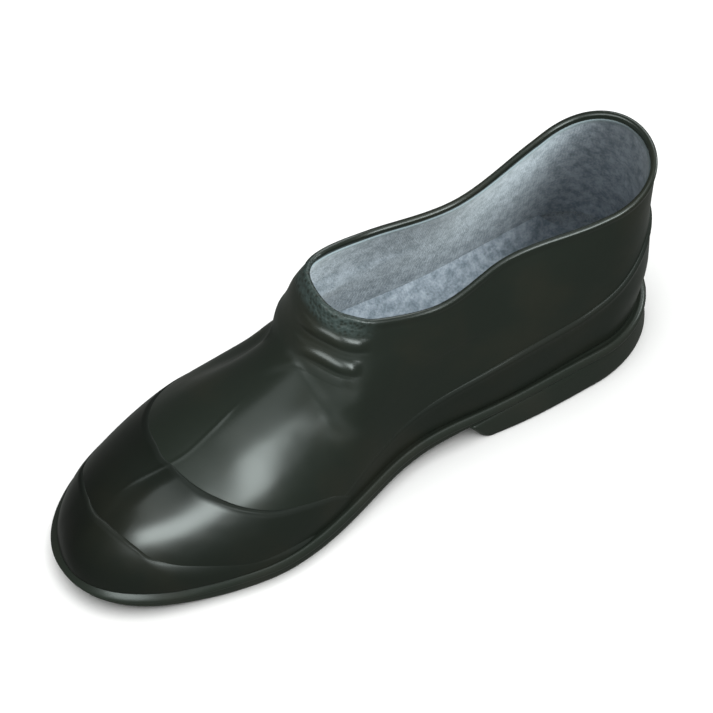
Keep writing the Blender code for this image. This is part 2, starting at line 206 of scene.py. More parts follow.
def eased(table, column, x, reach):
    """The same curve averaged over a short reach, so that its bends are soft."""
    shifts = np.linspace(-reach, reach, EASE_POINTS)
    return sum(through(table, column, x + shift) for shift in shifts) / len(shifts)


def rounded(distance, power):
    """Round end: 0 at the tip, 1 from a distance of 1 on, as a quarter of a superellipse."""
    return (1 - (1 - np.clip(distance, 0, 1)) ** power) ** (1 / power)


def smooth_step(x):
    """0 below 0, 1 above 1, with a soft S between: three x squared less two x cubed."""
    x = np.clip(x, 0, 1)
    return x * x * (3 - 2 * x)


def plan(name, x):
    """One column of the plan at x: its eased curve, read at x's share of the shoe's length."""
    along = (x - HEEL_X) / (TOE_X - HEEL_X)
    return eased(PLAN, PLAN_COLUMNS.index(name), along, PLAN_EASE)


def feather(x):
    """Height of the feather line, where the upper meets the sole."""
    return plan("feather", x)


def middle(x):
    """Distance of the foot's centre line from the x axis."""
    return (plan("medial", x) - plan("lateral", x)) / 2


def half_width(x):
    """Half the foot's width at x: the mean of its inner and outer half."""
    return (plan("medial", x) + plan("lateral", x)) / 2


print("width at the ball in mm:", round(float(2 * half_width(np.array(65.0))), 1))


# %% The outside of the upper as a function of turn and climb
def ridge(x, neck=1.0):
    """Height of the ridge above the feather line, rounded off over the nose of the toe."""
    height = eased(RIDGE, RIDGE_COLUMNS.index("height"), x, RIDGE_EASE)
    height = height - eased(RIDGE, RIDGE_COLUMNS.index("neck"), x, RIDGE_EASE) * (1 - neck)
    return (height - feather(x)) * rounded((TOE_X - x) / NOSE_ROUND, NOSE_POWER)


def collar(name, share):
    """One column of the collar, at a share of the way from the back to the throat."""
    return through(COLLAR, COLLAR_COLUMNS.index(name), share)


def level_front(v):
    """Where the level of climb v meets the ridge: the ridge profile read the other way round."""
    x = TOE_X - (TOE_X - THROAT_X + RIDGE_SPARE) * np.linspace(0, 1, PROFILE_POINTS) ** 2
    rise = np.maximum.accumulate(ridge(x))
    throat_rise = collar("height", 1.0) - feather(THROAT_X)
    return np.interp(v * throat_rise, rise, x)


def upper(t, v):
    """Point of the outside in mm. x runs from the back seam to the front of this level, z is a share
    of the collar's height, and y is the half width times how far the section has closed at z."""
    share = (1 - np.cos(t)) / 2
    back = through(BACK, BACK_COLUMNS.index("place"), v)
    x = back + (THROAT_X - back) * share + (level_front(v) - THROAT_X) * share ** VAMP_POWER
    rim_back = BACK[-1][1]
    rise = v * (collar("height", share) - feather(rim_back + (THROAT_X - rim_back) * share))
    z = feather(x) + rise
    neck = smooth_step((z - NECK_LOW) / (NECK_BASE - NECK_LOW))
    crown = np.maximum(ridge(x, neck), MM)
    section = np.sqrt(1 - np.clip(rise / crown, 0, 1) ** SECTION_POWER)
    ends = rounded((TOE_X - x) / TOE_ROUND, TOE_POWER) * rounded((x - back) / HEEL_ROUND, 2)
    inner_side = np.sin(t) >= 0
    pinch = np.where(inner_side, collar("medial", share), collar("lateral", share))
    half = half_width(x) * ends * section * (1 - (1 - pinch) * v * v)
    return np.stack([x, middle(x) + np.where(inner_side, half, -half), z], axis=-1)


def unit(vectors):
    """Vectors divided by their own length."""
    return vectors / np.linalg.norm(vectors, axis=-1, keepdims=True)


def upper_frame(t, v):
    """Unit vectors on the surface: up along the climb, and outwards, square to climb and turn."""
    along = upper(t + TURN_STEP, v) - upper(t - TURN_STEP, v)
    climb = upper(t, np.clip(v + CLIMB_STEP, 0, 1)) - upper(t, np.clip(v - CLIMB_STEP, 0, 1))
    return unit(climb), unit(np.cross(climb, along))


def hollow(t, v):
    """Soft hollows beside the throat, where the rubber sinks between vamp and neck: a bell in turn
    times a bell in climb."""
    total = 0.0
    for row in HOLLOWS:
        dip = dict(zip(HOLLOW_COLUMNS, row))
        across = ((t / math.pi - dip["turn"]) / dip["turn_reach"]) ** 2
        along = ((v - dip["climb"]) / dip["climb_reach"]) ** 2
        total = total - dip["depth"] * np.exp(-across - along)
    return total


def skin(t, v, out):
    """Point at a distance out from the last, negative on the inside; the hollows take it inwards."""
    return upper(t, v) + (np.asarray(out) + hollow(t, v))[..., None] * upper_frame(t, v)[1]


print("top of the heel in mm:", upper(np.array(0.0), np.array(1.0)).round(1))

# %% [markdown]
# ## From arrays to meshes
#
# Every piece is a loft: rings of points, one ring after another. A closed ring of rings makes a shoe
# upper or a sole, an open run of rings with two end faces makes a band. Columns stand closer together
# where the surface bends quickly, so that a modest grid still shows small beads and edges.


# %% Columns that crowd together
FINE_POINTS = 20001


def crowded(first, last, count, places):
    """count values from first to last, each place being (where, reach, weight).

    The density is 1 plus, for each place, its weight times a bell of that reach; the values share the
    area under it equally."""
    fine = np.linspace(first, last, FINE_POINTS)
    density = 1 + sum(weight * np.exp(-((fine - where) / reach) ** 2) for where, reach, weight in places)
    area = np.concatenate([[0], np.cumsum((density[1:] + density[:-1]) / 2)])
    return np.interp(np.linspace(0, area[-1], count), area, fine)


print("five columns crowded in the middle:", crowded(0, 1, 5, ((0.5, 0.2, 3.0),)).round(2))

# %% Where the tables' zero lies in the model
LIP = 4.0
HEEL_LIP = 5.5
SOLE_END = 0.2
MIDDLE_Y = -0.29


def sole_end(inset):
    """x of the sole's heel and toe, moved in by inset."""
    return BACK[0][1] - HEEL_LIP + inset, TOE_X + LIP - inset


# The solid sole stops SOLE_END short of its tip; its toe tells how far apart the two zeros are
toe_in_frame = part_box("outsole")[1].x / MM
CENTRE = np.array([sole_end(SOLE_END)[1] - toe_in_frame, MIDDLE_Y, 0.0])
print("the model's origin in the tables, in mm:", CENTRE.round(2))


# %% Lofts
def loft(name, rings, closed, uv=None, marks=None, merge=0.0):
    """Mesh through rings of points in mm: quads between neighbours, end faces unless the run is closed.

    uv has one row and one column more than the quads have, marks are values per point by name, and
    points nearer to each other than merge are joined."""
    count, around = rings.shape[:2]
    index = np.arange(count * around).reshape(count, around)
    here = index if closed else index[:-1]
    there = np.roll(index, -1, axis=0) if closed else index[1:]
    quads = np.stack([here, there, np.roll(there, -1, axis=1), np.roll(here, -1, axis=1)], axis=-1)
    faces = quads.reshape(-1, 4).tolist()
    if not closed:
        faces += [index[0].tolist(), index[-1].tolist()]
    mesh = bpy.data.meshes.new(name)
    mesh.from_pydata(((rings.reshape(-1, 3) - CENTRE) * MM).tolist(), [], faces)
    if uv is not None:
        corners = np.stack([uv[:-1, :-1], uv[1:, :-1], uv[1:, 1:], uv[:-1, 1:]], axis=2).reshape(-1, 2)
        spare = len(mesh.loops) - len(corners)
        corners = np.concatenate([corners, np.zeros((spare, 2))])
        mesh.uv_layers.new(name="weave").data.foreach_set("uv", corners.astype(np.float32).ravel())
    for mark, values in (marks or {}).items():
        layer = mesh.attributes.new(mark, "FLOAT", "POINT")
        spread = np.broadcast_to(values, (count, around)).astype(np.float32)
        layer.data.foreach_set("value", spread.ravel())
    shape = bmesh.new()
    shape.from_mesh(mesh)
    if merge:
        bmesh.ops.remove_doubles(shape, verts=shape.verts, dist=merge * MM)
    bmesh.ops.recalc_face_normals(shape, faces=shape.faces)
    shape.to_mesh(mesh)
    shape.free()
    mesh.shade_smooth()
    print(f"{name}: {len(mesh.vertices)} points, {len(mesh.polygons)} faces")
    return bpy.data.objects.new(name, mesh)


print("lofts ready, in units of", MM, "m")

# %% A piece's place in the model and among the lamps
# Which groups of lamps reach a piece, by its slot; the upper has lamps of its own
LIT_WITH = {
    "upper": ("rubber", "upper"),
    "upper_rubber": ("rubber", "layers"),
    "sole_rubber": ("rubber", "sole"),
    "knit_lining": ("cloth",),
}
groups = {}
for name in ("rubber", "upper", "layers", "sole", "cloth", "ground"):
    groups[name] = bpy.data.collections.new(name)
    scene.collection.children.link(groups[name])


def stand_for(piece, node, slot, finish):
    """Ride on the shoe's one body, take a node's place and a slot's finish."""
    for group in LIT_WITH[slot if node != "upper" else node]:
        groups[group].objects.link(piece)
    piece.data.materials.append(finish)
    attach(piece, "root")
    if node:
        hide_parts(node)


print("groups of lamps:", list(groups))


# %% [markdown]
# ## Shader maths as Python
#
# A material is a graph of nodes. Written out node by node it is hard to read, so one small class wraps
# a socket and turns `+ - *` into Math nodes. Every other node comes from its `node` method.

# %% A socket with operators
class Shade:
    """A value on its way through a material's nodes."""

    def __init__(self, tree, socket=None):
        self.tree = tree
        self.socket = socket

    def node(self, kind, settings=None, sockets=None, output=0):
        """Add a node: first its settings, then the values or links of its sockets."""
        made = self.tree.nodes.new(kind)
        for key, value in (settings or {}).items():
            setattr(made, key, value)
        for key, value in (sockets or {}).items():
            if isinstance(value, Shade):
                self.tree.links.new(value.socket, made.inputs[key])
            else:
                made.inputs[key].default_value = value
        return Shade(self.tree, made.outputs[output])

    def math(self, operation, first, second=0.0):
        """A Math node on one or two values."""
        return self.node("ShaderNodeMath", {"operation": operation}, {0: first, 1: second})

    def __add__(self, other):
        return self.math("ADD", self, other)

    def __radd__(self, other):
        return self.math("ADD", other, self)

    def __sub__(self, other):
        return self.math("SUBTRACT", self, other)

    def __rsub__(self, other):
        return self.math("SUBTRACT", other, self)

    def __mul__(self, other):
        return self.math("MULTIPLY", self, other)

    def __rmul__(self, other):
        return self.math("MULTIPLY", other, self)

    def sine(self):
        return self.math("SINE", self)

    def size(self):
        return self.math("ABSOLUTE", self)

    def step(self, low, high):
        """0 below low, 1 above high, smooth between; high may be the smaller."""
        sockets = {"Value": self, "From Min": low, "From Max": high}
        return self.node("ShaderNodeMapRange", {"interpolation_type": "SMOOTHSTEP"}, sockets)

    def mix(self, first, second):
        """Colour between first and second, with this value as the factor."""
        return self.node("ShaderNodeMix", {"data_type": "RGBA"}, {0: self, 6: first, 7: second}, 2)

    def noise(self, place, scale, detail=2.0):
        return self.node("ShaderNodeTexNoise", None, {"Vector": place, "Scale": scale, "Detail": detail})

    def cells(self, place, scale):
        return self.node("ShaderNodeTexVoronoi", None, {"Vector": place, "Scale": scale})

    def mark(self, name):
        """A value that the mesh carries at each point."""
        return self.node("ShaderNodeAttribute", {"attribute_name": name}, None, "Fac")

    def bump(self, height, distance_mm, below=None):
        """Tilt the normal as if the surface rose by height times this distance, over another bump."""
        sockets = {"Strength": 1.0, "Distance": distance_mm * MM, "Height": height}
        if below is not None:
            sockets["Normal"] = below
        return self.node("ShaderNodeBump", None, sockets)


def new_finish(name, **constants):
    """A material with constant sockets set; returns it, its shader's inputs and a place to start."""
    made = bpy.data.materials.new(name)
    made.use_nodes = True
    shader = made.node_tree.nodes["Principled BSDF"]
    for socket, value in constants.items():
        shader.inputs[socket.replace("_", " ")].default_value = value
    return made, shader.inputs, Shade(made.node_tree)


def feed(start, inputs, **links):
    """Link values to the shader's inputs of these names."""
    for socket, value in links.items():
        start.tree.links.new(value.socket, inputs[socket.replace("_", " ")])


print("what a value can do:", [name for name in vars(Shade) if not name.startswith("_")])


# %% [markdown]
# ## Rubber
#
# Moulded rubber is nearly black with a green cast. A new shoe has a satin gloss: one broad soft light
# shows on it as a wide streak with slightly ragged edges, because the lacquered skin is never quite
# even. Long shallow waves in the bump make that raggedness, a fine grain dulls it, and the band under
# the collar is pebbled. Creases and the edges of layers are dull. Both are marks that the mesh carries
# at its points, so that the finish follows the shape. The sole's rubber is greyer and a little rougher.

# %% Finishes of rubber
GREEN_BLACK = (0.0030, 0.0037, 0.0028, 1.0)
BROWN_BLACK = (0.0039, 0.0041, 0.0029, 1.0)
BAND_GREEN = (0.0085, 0.0115, 0.0108, 1.0)
SOLE_DARK = (0.0078, 0.0094, 0.0073, 1.0)
SOLE_LIGHT = (0.0098, 0.0104, 0.0081, 1.0)
CLOUDS_PER_M = 28.0
WAVES_PER_M = 75.0
GRAINS_PER_M = 1900.0
PEBBLES_PER_M = 520.0
PEBBLE_MM = 0.5
UNEVEN = 0.10
BAND_ROUGH = 0.14
DULL_ROUGH = 0.5
BAND_LACQUER_LOSS = 0.7


def rubber(name, dark, light, roughness, coat, wave_mm, grain_mm):
    """Rubber between two colours, of a roughness and a coat weight, with bumps of these depths.

    The mark band is 1 on pebbled areas, the mark dull is 1 in creases that the lacquer did not reach."""
    made, inputs, start = new_finish(name, Specular_IOR_Level=0.075, Coat_Roughness=0.24, Coat_IOR=1.4)
    place = start.node("ShaderNodeTexCoord", None, None, "Object")
    cloud = start.noise(place, CLOUDS_PER_M, 3.0)
    waves = start.noise(place, WAVES_PER_M, 1.0)
    grain = start.noise(place, GRAINS_PER_M, 2.0)
    pebbles = start.cells(place, PEBBLES_PER_M)
    band = start.mark("band")
    dull = start.mark("dull")
    skin_colour = cloud.step(0.42, 0.68).mix(dark, light)
    colour = (band * pebbles.step(0.0, 0.7)).mix(skin_colour, BAND_GREEN)
    uneven = (cloud - 0.5) * UNEVEN + (grain - 0.5) * UNEVEN
    gloss = roughness + uneven + band * BAND_ROUGH + dull * DULL_ROUGH
    lacquer = coat * (1 - band * BAND_LACQUER_LOSS) * (1 - dull) * (0.7 + cloud * 0.6)
    soft = start.bump(waves, wave_mm)
    fine = start.bump(grain, grain_mm, soft)
    pebbled = start.bump(pebbles * band, PEBBLE_MM, fine)
    feed(start, inputs, Base_Color=colour, Roughness=gloss, Coat_Weight=lacquer, Normal=pebbled)
    return made


upper_rubber = rubber("upper_rubber", GREEN_BLACK, BROWN_BLACK, 0.36, 0.20, 0.35, 0.012)
sole_rubber = rubber("sole_rubber", SOLE_DARK, SOLE_LIGHT, 0.42, 0.16, 0.30, 0.03)
print("rubber finishes:", upper_rubber.name, sole_rubber.name)

# %% [markdown]
# ## Upper
#
# The upper is one skin of rubber. Two rounded beads run across the throat to stiffen it, with a hint of
# a third below them, and a fine mould line runs down the middle of the vamp where the halves of the
# mould met. All of them could be bump, but they show in the outline and in the highlights, so they are
# added to the surface itself. The feet of the beads, and the corner where the vamp turns up into the
# neck, are only marked as dull.

# %% Beads
BEAD_COLUMNS = ("outer", "inner", "reach", "height", "width")
BEADS = (
    (0.815, 0.868, 0.185, 1.3, 0.038),
    (0.685, 0.755, 0.165, 1.4, 0.038),
    (0.650, 0.684, 0.150, 0.10, 0.022),
)
BEND_FROM = -0.07
BEND_TO = 0.08
BEAD_FADE = 0.84
BEAD_NOSE = 0.24
BEAD_FOOT = 0.28
OUTER_REACH = 0.05
OUTER_FADE = 0.07


def beads(t, v):
    """Each bead is half round across the climb: 1 less the square of the distance from its centre line.
    That line rises to the inner side, where the bead has a round nose; it melts away past the middle.
    The second value marks the creases along the feet of the beads."""
    turn = 1 - t / math.pi
    total, crease = 0.0, 0.0
    for row in BEADS:
        bead = dict(zip(BEAD_COLUMNS, row))
        share = np.abs(turn) / bead["reach"]
        bend = smooth_step((turn - BEND_FROM) / (BEND_TO - BEND_FROM))
        centre = bead["outer"] + (bead["inner"] - bead["outer"]) * bend
        swell = np.clip(1 - ((v - centre) / bead["width"]) ** 2, 0, 1)
        nose = 1 - smooth_step((share - BEAD_FADE) / BEAD_NOSE)
        melt = smooth_step((turn + OUTER_REACH) / OUTER_FADE)
        foot = np.exp(-((np.abs(v - centre) / bead["width"] - 1) / BEAD_FOOT) ** 2)
        total = total + bead["height"] * swell * nose * melt
        crease = crease + foot * nose * melt
    return total, np.clip(crease, 0, 1)


print("highest bead in mm:", max(row[BEAD_COLUMNS.index("height")] for row in BEADS))

# %% Dull corner of the neck
CORNER_COLUMNS = ("turn", "climb")
CORNER = (
    (0.70, 0.420),
    (0.75, 0.520),
    (0.78, 0.586),
    (0.85, 0.626),
    (1.04, 0.713),
)
CORNER_FROM = 0.68
CORNER_TO = 1.04
CORNER_EASE = 0.07
CORNER_REACH = 0.030
CORNER_DULL = 0.9


def neck_corner(t, v):
    """Dull along the corner where the vamp turns up into the neck: a bell about a line in t and v."""
    turn = t / math.pi
    line = through(CORNER, CORNER_COLUMNS.index("climb"), turn)
    fade = smooth_step((turn - CORNER_FROM) / CORNER_EASE) * smooth_step((CORNER_TO - turn) / CORNER_EASE)
    return CORNER_DULL * fade * np.exp(-((v - line) / CORNER_REACH) ** 2)


print("climb of the corner at the middle of the throat:", through(CORNER, 1, np.array(1.0)).round(3))

# %% Mould line
LINE_COLUMNS = ("x", "bow")
LINE = (
    (58.0, 0.4),
    (75.0, 4.2),
    (90.0, 5.8),
    (104.0, 3.4),
    (118.0, 1.0),
    (150.0, 0.5),
)
LINE_FROM = 56.0
LINE_TO = 112.0
LINE_EASE = 16.0
LINE_HEIGHT = 0.24
LINE_WIDTH = 0.9
KEEL_HEIGHT = 0.15
KEEL_WIDTH = 8.0


def mould_line(points):
    """A thin bell on a wide roof shaped keel, along a line that bows to the inner side of the vamp."""
    x = points[..., 0]
    y = points[..., 1]
    fade = smooth_step((x - LINE_FROM) / LINE_EASE) * (1 - smooth_step((x - LINE_TO) / LINE_EASE))
    away = np.abs(y - middle(x) - through(LINE, LINE_COLUMNS.index("bow"), x))
    thin = LINE_HEIGHT * np.exp(-(away / LINE_WIDTH) ** 2)
    keel = KEEL_HEIGHT * np.exp(-away / KEEL_WIDTH)
    return fade * (thin + keel)


print("mould line from and to x in mm:", LINE_FROM, LINE_TO)

# %% [markdown]
# ## Wall and rim
#
# The rubber is 2.5 mm thick, and its upper edge is rolled into a round rim. A Solidify modifier could
# give the thickness, but a ring that runs up the outside, over the rim and down the inside gives each
# stretch as many points as it needs.

# %% Rings of a wall
WALL = 2.5
RIM_CLIMB = 0.986
RIM_SWELL = 0.5
RIM_SWELL_BELOW = 0.035
RIM_SWELL_EASE = 0.03
RIM_STEPS = 11


def relief(t, v):
    """How far beads, mould line and the swelling of the rim stand out of the last."""
    swell = RIM_SWELL * smooth_step((v - RIM_CLIMB + RIM_SWELL_BELOW) / RIM_SWELL_EASE)
    return beads(t, v)[0] + mould_line(upper(t, v)) + swell


def wall_ring(t, outside, inside, climbs_out, climbs_in, rim):
    """Rings of a wall, one for each turn: up the outside, over a half round rim, down the inside.

    outside is a function of turn and climb, inside a constant distance, both from the last."""
    turn, climb = np.meshgrid(t, climbs_out, indexing="ij")
    outer = skin(turn, climb, outside(turn, climb))
    turn, climb = np.meshgrid(t, climbs_in[::-1], indexing="ij")
    inner = skin(turn, climb, np.full(turn.shape, inside))
    up, out = upper_frame(t, np.full(t.shape, rim))
    top = upper(t, np.full(t.shape, rim))
    start = outside(t, np.full(t.shape, rim))
    radius = (start - inside) / 2
    angle = np.linspace(0, math.pi, RIM_STEPS + 2)[1:-1]
    centre = top + ((start + inside) / 2 + hollow(t, rim))[:, None] * out
    edge = centre[:, None] + radius[:, None, None] * (
        np.cos(angle)[:, None] * out[:, None] + np.sin(angle)[:, None] * up[:, None])
    return np.concatenate([outer, edge, inner], axis=1)


print("wall in mm:", WALL)

# %% Upper with its rolled rim
TURNS = 384
CLIMBS_OUT = 160
CLIMBS_IN = 52
TURN_PLACES = (
    (0.97 * math.pi, 0.10, 4.0),
    (math.pi, 0.55, 0.9),
    (0.0, 0.4, 0.4),
    (2 * math.pi, 0.4, 0.4),
)
CLIMB_PLACES = (
    (0.50, 0.10, 0.8),
    (0.58, 0.05, 1.2),
    (0.73, 0.09, 3.5),
    (0.86, 0.06, 3.5),
    (0.98, 0.02, 2.0),
)
BAND_LOW = 0.885
BAND_EASE = 0.05
BAND_REACH = 0.11
BAND_FADE = 0.12

turns = crowded(0, 2 * math.pi, TURNS + 1, TURN_PLACES)[:-1]
climbs_out = crowded(0, RIM_CLIMB, CLIMBS_OUT, CLIMB_PLACES)
climbs_in = crowded(0, RIM_CLIMB, CLIMBS_IN, CLIMB_PLACES[:2])
rings = wall_ring(turns, relief, -WALL, climbs_out, climbs_in, RIM_CLIMB)
throat = 1 - smooth_step((np.abs(turns / math.pi - 1) - BAND_REACH) / BAND_FADE)
level = np.concatenate([climbs_out, np.ones(RIM_STEPS), climbs_in[::-1]])
band = throat[:, None] * smooth_step((level - BAND_LOW) / BAND_EASE)[None]
corner = neck_corner(turns[:, None], level[None])
crease = np.maximum(beads(turns[:, None], level[None])[1], corner)
rubber_upper = loft("rubber_upper", rings, True, marks={"band": band, "dull": crease})
stand_for(rubber_upper, "upper", "upper_rubber", upper_rubber)

# %% [markdown]
# ## Toe cap, toe bumper and heel counter
#
# These are extra layers of rubber laid on the last before the shoe is cured. Their edges show as a
# thin dark line beside a rounded edge. Each could be cut from a copy of the upper, but a patch of the
# same function, raised by its thickness and rolled down along its border, has clean rows along its edge.

# %% Patches of the last with rolled edges
PATCH_FOOT = 0.003
MEASURE_POINTS = 40
INNER_STEP = 4
EDGE_STEPS = np.array([0.0, 0.12, 0.3, 0.55, 0.85, 1.2, 1.6, 2.1, 2.7, 3.5, 4.5])
SINK = 0.3
EDGE_DULL = 0.8
DULL_FROM = 1.4
DULL_EASE = 1.4


def roll(distance, radius):
    """Edge rolled down: a quarter circle that rises from 0 at the border to 1 at the radius."""
    return np.sqrt(1 - (1 - np.clip(distance / radius, 0, 1)) ** 2)


def patch(name, reach, lines, thickness, count, rows):
    """Band on the last between a lower and an upper line, of count columns and rows below its edge.

    a runs from -reach to reach along the band, lines(a) gives the turn and climb of both lines at a,
    and thickness(a, down, from_end) gives the height in mm from the distances to the borders."""
    a = np.linspace(-reach, reach, count)
    (turn_low, climb_low), (turn_high, climb_high) = lines(a)

    def across(b):
        turn = turn_low[:, None] + (turn_high - turn_low)[:, None] * b
        climb = climb_low[:, None] + (climb_high - climb_low)[:, None] * b
        return math.pi * turn, climb

    even = np.broadcast_to(np.linspace(0, 1, MEASURE_POINTS), (count, MEASURE_POINTS))
    points = upper(*across(even))
    width = np.linalg.norm(np.diff(points, axis=1), axis=-1).sum(axis=1)
    half_way = points[:, MEASURE_POINTS // 2]
    run = np.concatenate([[0], np.cumsum(np.linalg.norm(np.diff(half_way, axis=0), axis=-1))])
    from_end = np.minimum(run, run[-1] - run)
    steps = EDGE_STEPS * np.minimum(1, width / (2 * EDGE_STEPS[-1]))[:, None]
    inside = np.linspace(0, 1, rows, endpoint=False) * (1 - steps[:, -1:] / width[:, None])
    b = np.concatenate([inside, 1 - steps[:, ::-1] / width[:, None]], axis=1)
    down = (1 - b) * width[:, None]
    turn, climb = across(b)
    height = thickness(a[:, None], down, from_end[:, None])
    outer = skin(turn, climb, height + mould_line(upper(turn, climb)))
    turn, climb = across(b[:, ::-INNER_STEP])
    inner = skin(turn, climb, np.full(turn.shape, -2 * SINK))
    dull = EDGE_DULL * (1 - smooth_step((down - DULL_FROM) / DULL_EASE))
    dull = np.concatenate([dull, np.zeros(inner.shape[:2])], axis=1)
    marks = {"band": np.zeros((1, 1)), "dull": dull}
    return loft(name, np.concatenate([outer, inner], axis=1), False, marks=marks)


def toe_lines(table, columns):
    """Lines of a toe patch, the same on both sides of the centre line."""
    def lines(a):
        reach = np.abs(a)
        high = through(table, columns.index("high"), reach)
        low = np.full(a.shape, PATCH_FOOT)
        if "low" in columns:
            low = through(table, columns.index("low"), reach)
        return (1 + a, low), (1 + a, high)
    return lines


print("rows along a patch's edge, in mm from it:", EDGE_STEPS.tolist())

# %% [markdown]
# ## Toe cap
#
# The cap crosses the vamp in an arc and runs down to the sole on both sides. Its step is clear on the
# inner side and hardly to be seen elsewhere, so the thickness itself changes along the edge.

# %% Toe cap
CAP_COLUMNS = ("reach", "low", "high")
CAP = (
    (0.000, 0.250, 0.455),
    (0.025, 0.249, 0.456),
    (0.053, 0.235, 0.449),
    (0.077, 0.213, 0.439),
    (0.113, 0.160, 0.421),
    (0.149, 0.115, 0.399),
    (0.193, 0.066, 0.356),
    (0.226, 0.030, 0.309),
    (0.253, 0.004, 0.268),
    (0.287, 0.003, 0.190),
    (0.315, 0.002, 0.060),
)
CAP_THICK = 1.5
CAP_THIN = 1.1
CAP_OUTER = -0.07
CAP_INNER = -0.21
CAP_FADE = 0.05
CAP_ROLL = 1.3
END_ROLL = 8.0


def cap_thickness(a, down, from_end):
    """Full thickness on the inner side of the vamp, thinner over the ridge and beyond it, and thinner
    near the inner end; a quarter circle rolls it down at the borders."""
    fade = smooth_step((a - CAP_OUTER) / CAP_FADE) + smooth_step((CAP_INNER - a) / CAP_FADE)
    thick = CAP_THICK - CAP_THIN * fade
    return -SINK + (thick + SINK) * roll(down, CAP_ROLL) * roll(from_end, END_ROLL)


toe_cap = patch("moulded_toe_cap", CAP[-1][0], toe_lines(CAP, CAP_COLUMNS), cap_thickness, 260, 30)
stand_for(toe_cap, "toe_cap", "upper_rubber", upper_rubber)

# %% [markdown]
# ## Toe bumper
#
# The bumper is a thick strip round the toe that takes knocks. It has a crisp upper edge at the tip and
# melts into the sides, which a radius that grows along the strip can do.

# %% Toe bumper
BUMPER_COLUMNS = ("reach", "high")
BUMPER = (
    (0.000, 0.302),
    (0.026, 0.302),
    (0.049, 0.293),
    (0.070, 0.277),
    (0.089, 0.252),
    (0.111, 0.214),
    (0.157, 0.163),
    (0.187, 0.124),
    (0.211, 0.088),
    (0.245, 0.048),
    (0.275, 0.012),
)
BUMPER_THICK = 2.5
BUMPER_SIDE_THICK = 2.1
BUMPER_THIN = 0.6
BUMPER_CRISP = 0.09
BUMPER_SOFT = 0.15
BUMPER_ROLL = 1.2
BUMPER_SOFT_ROLL = 8.0
BUMPER_FLARE = 1.1
BUMPER_FLARE_REACH = 14.0
BUMPER_OUTER = -0.02
BUMPER_FADE = 0.06


def bumper_thickness(a, down, from_end):
    """Crisp step round the tip that melts into a soft flare along the sides, thinner on the outer side."""
    soft = smooth_step((np.abs(a) - BUMPER_CRISP) / (BUMPER_SOFT - BUMPER_CRISP))
    radius = BUMPER_ROLL + (BUMPER_SOFT_ROLL - BUMPER_ROLL) * soft
    thick = BUMPER_THICK + (BUMPER_SIDE_THICK - BUMPER_THICK) * soft
    flare = BUMPER_FLARE * soft * smooth_step(down / BUMPER_FLARE_REACH)
    thin = 1 - BUMPER_THIN * smooth_step((a - BUMPER_OUTER) / BUMPER_FADE)
    return -SINK + ((thick + flare) * thin + SINK) * roll(down, radius) * roll(from_end, END_ROLL)


bumper_lines = toe_lines(BUMPER, BUMPER_COLUMNS)
bumper = patch("moulded_toe_bumper", BUMPER[-1][0], bumper_lines, bumper_thickness, 240, 34)
stand_for(bumper, "toe_bumper", "upper_rubber", upper_rubber)

# %% [markdown]
# ## Heel counter
#
# The counter stiffens the heel. It is a thin layer whose upper edge is rounded into a bead, and it
# melts into the upper at the waist. The bead is a bell at a fixed distance below the edge.

# %% Heel counter with a beaded edge
COUNTER_COLUMNS = ("reach", "high")
COUNTER = (
    (0.000, 0.610),
    (0.100, 0.595),
    (0.160, 0.565),
    (0.205, 0.520),
    (0.248, 0.468),
    (0.285, 0.418),
    (0.330, 0.365),
    (0.391, 0.332),
    (0.451, 0.330),
    (0.491, 0.325),
    (0.526, 0.310),
    (0.556, 0.290),
    (0.584, 0.268),
    (0.618, 0.240),
    (0.660, 0.190),
    (0.700, 0.100),
    (0.730, 0.020),
)
COUNTER_THICK = 0.7
COUNTER_ROLL = 1.8
COUNTER_BEAD = 0.5
COUNTER_BEAD_PLACE = 2.4
COUNTER_BEAD_WIDTH = 1.9
COUNTER_MELT = 0.50
COUNTER_GONE = 0.66
COUNTER_LOSS = 0.85


def counter_lines(a):
    """Both lines run round the heel at the same turn; the foot lies on the feather line."""
    high = through(COUNTER, COUNTER_COLUMNS.index("high"), np.abs(a))
    return (a, np.full(a.shape, PATCH_FOOT)), (a, high)


def counter_thickness(a, down, from_end):
    """A thin layer with a rounded bead along its upper edge, which melts into the upper at the waist."""
    bead = COUNTER_BEAD * np.exp(-((down - COUNTER_BEAD_PLACE) / COUNTER_BEAD_WIDTH) ** 2)
    melt = 1 - COUNTER_LOSS * smooth_step((np.abs(a) - COUNTER_MELT) / (COUNTER_GONE - COUNTER_MELT))
    thick = (COUNTER_THICK + bead) * melt
    return -SINK + (thick + SINK) * roll(down, COUNTER_ROLL) * roll(from_end, END_ROLL)


counter = patch("heel_counter_layer", COUNTER[-1][0], counter_lines, counter_thickness, 300, 40)
stand_for(counter, "heel_counter", "upper_rubber", upper_rubber)

# %% [markdown]
# ## Outsole
#
# The sole's edge is a lip that stands out all round, with a narrower wall below it. Along the sides the
# lip is round and a narrow channel parts it from the upper; at the toe it is a sloping face that
# catches the light. A profile of inset and drop is carried round the outline, and blends from one form
# into the other. Rows run in to the centre line above and below, so the sole is one closed surface.
# The tread is a row of cross grooves, as a rise of the rows below.

# %% Outline of the sole and rings along it
HEEL_LIP_X = -60.0
HEEL_LIP_EASE = 60.0
SOLE_HEEL_ROUND = 42.0
SOLE_COLUMNS = ("along", "under")
SOLE = (
    (0.00, 15.5),
    (0.28, 13.0),
    (0.35, 10.5),
    (0.42, 7.0),
    (0.52, 3.2),
    (0.60, 0.6),
    (0.64, 0.0),
    (0.80, 0.0),
    (0.90, 2.6),
    (1.00, 7.5),
)


def sole_under(x):
    """Height of the sole's underside."""
    return through(SOLE, SOLE_COLUMNS.index("under"), (x - HEEL_X) / (TOE_X - HEEL_X))


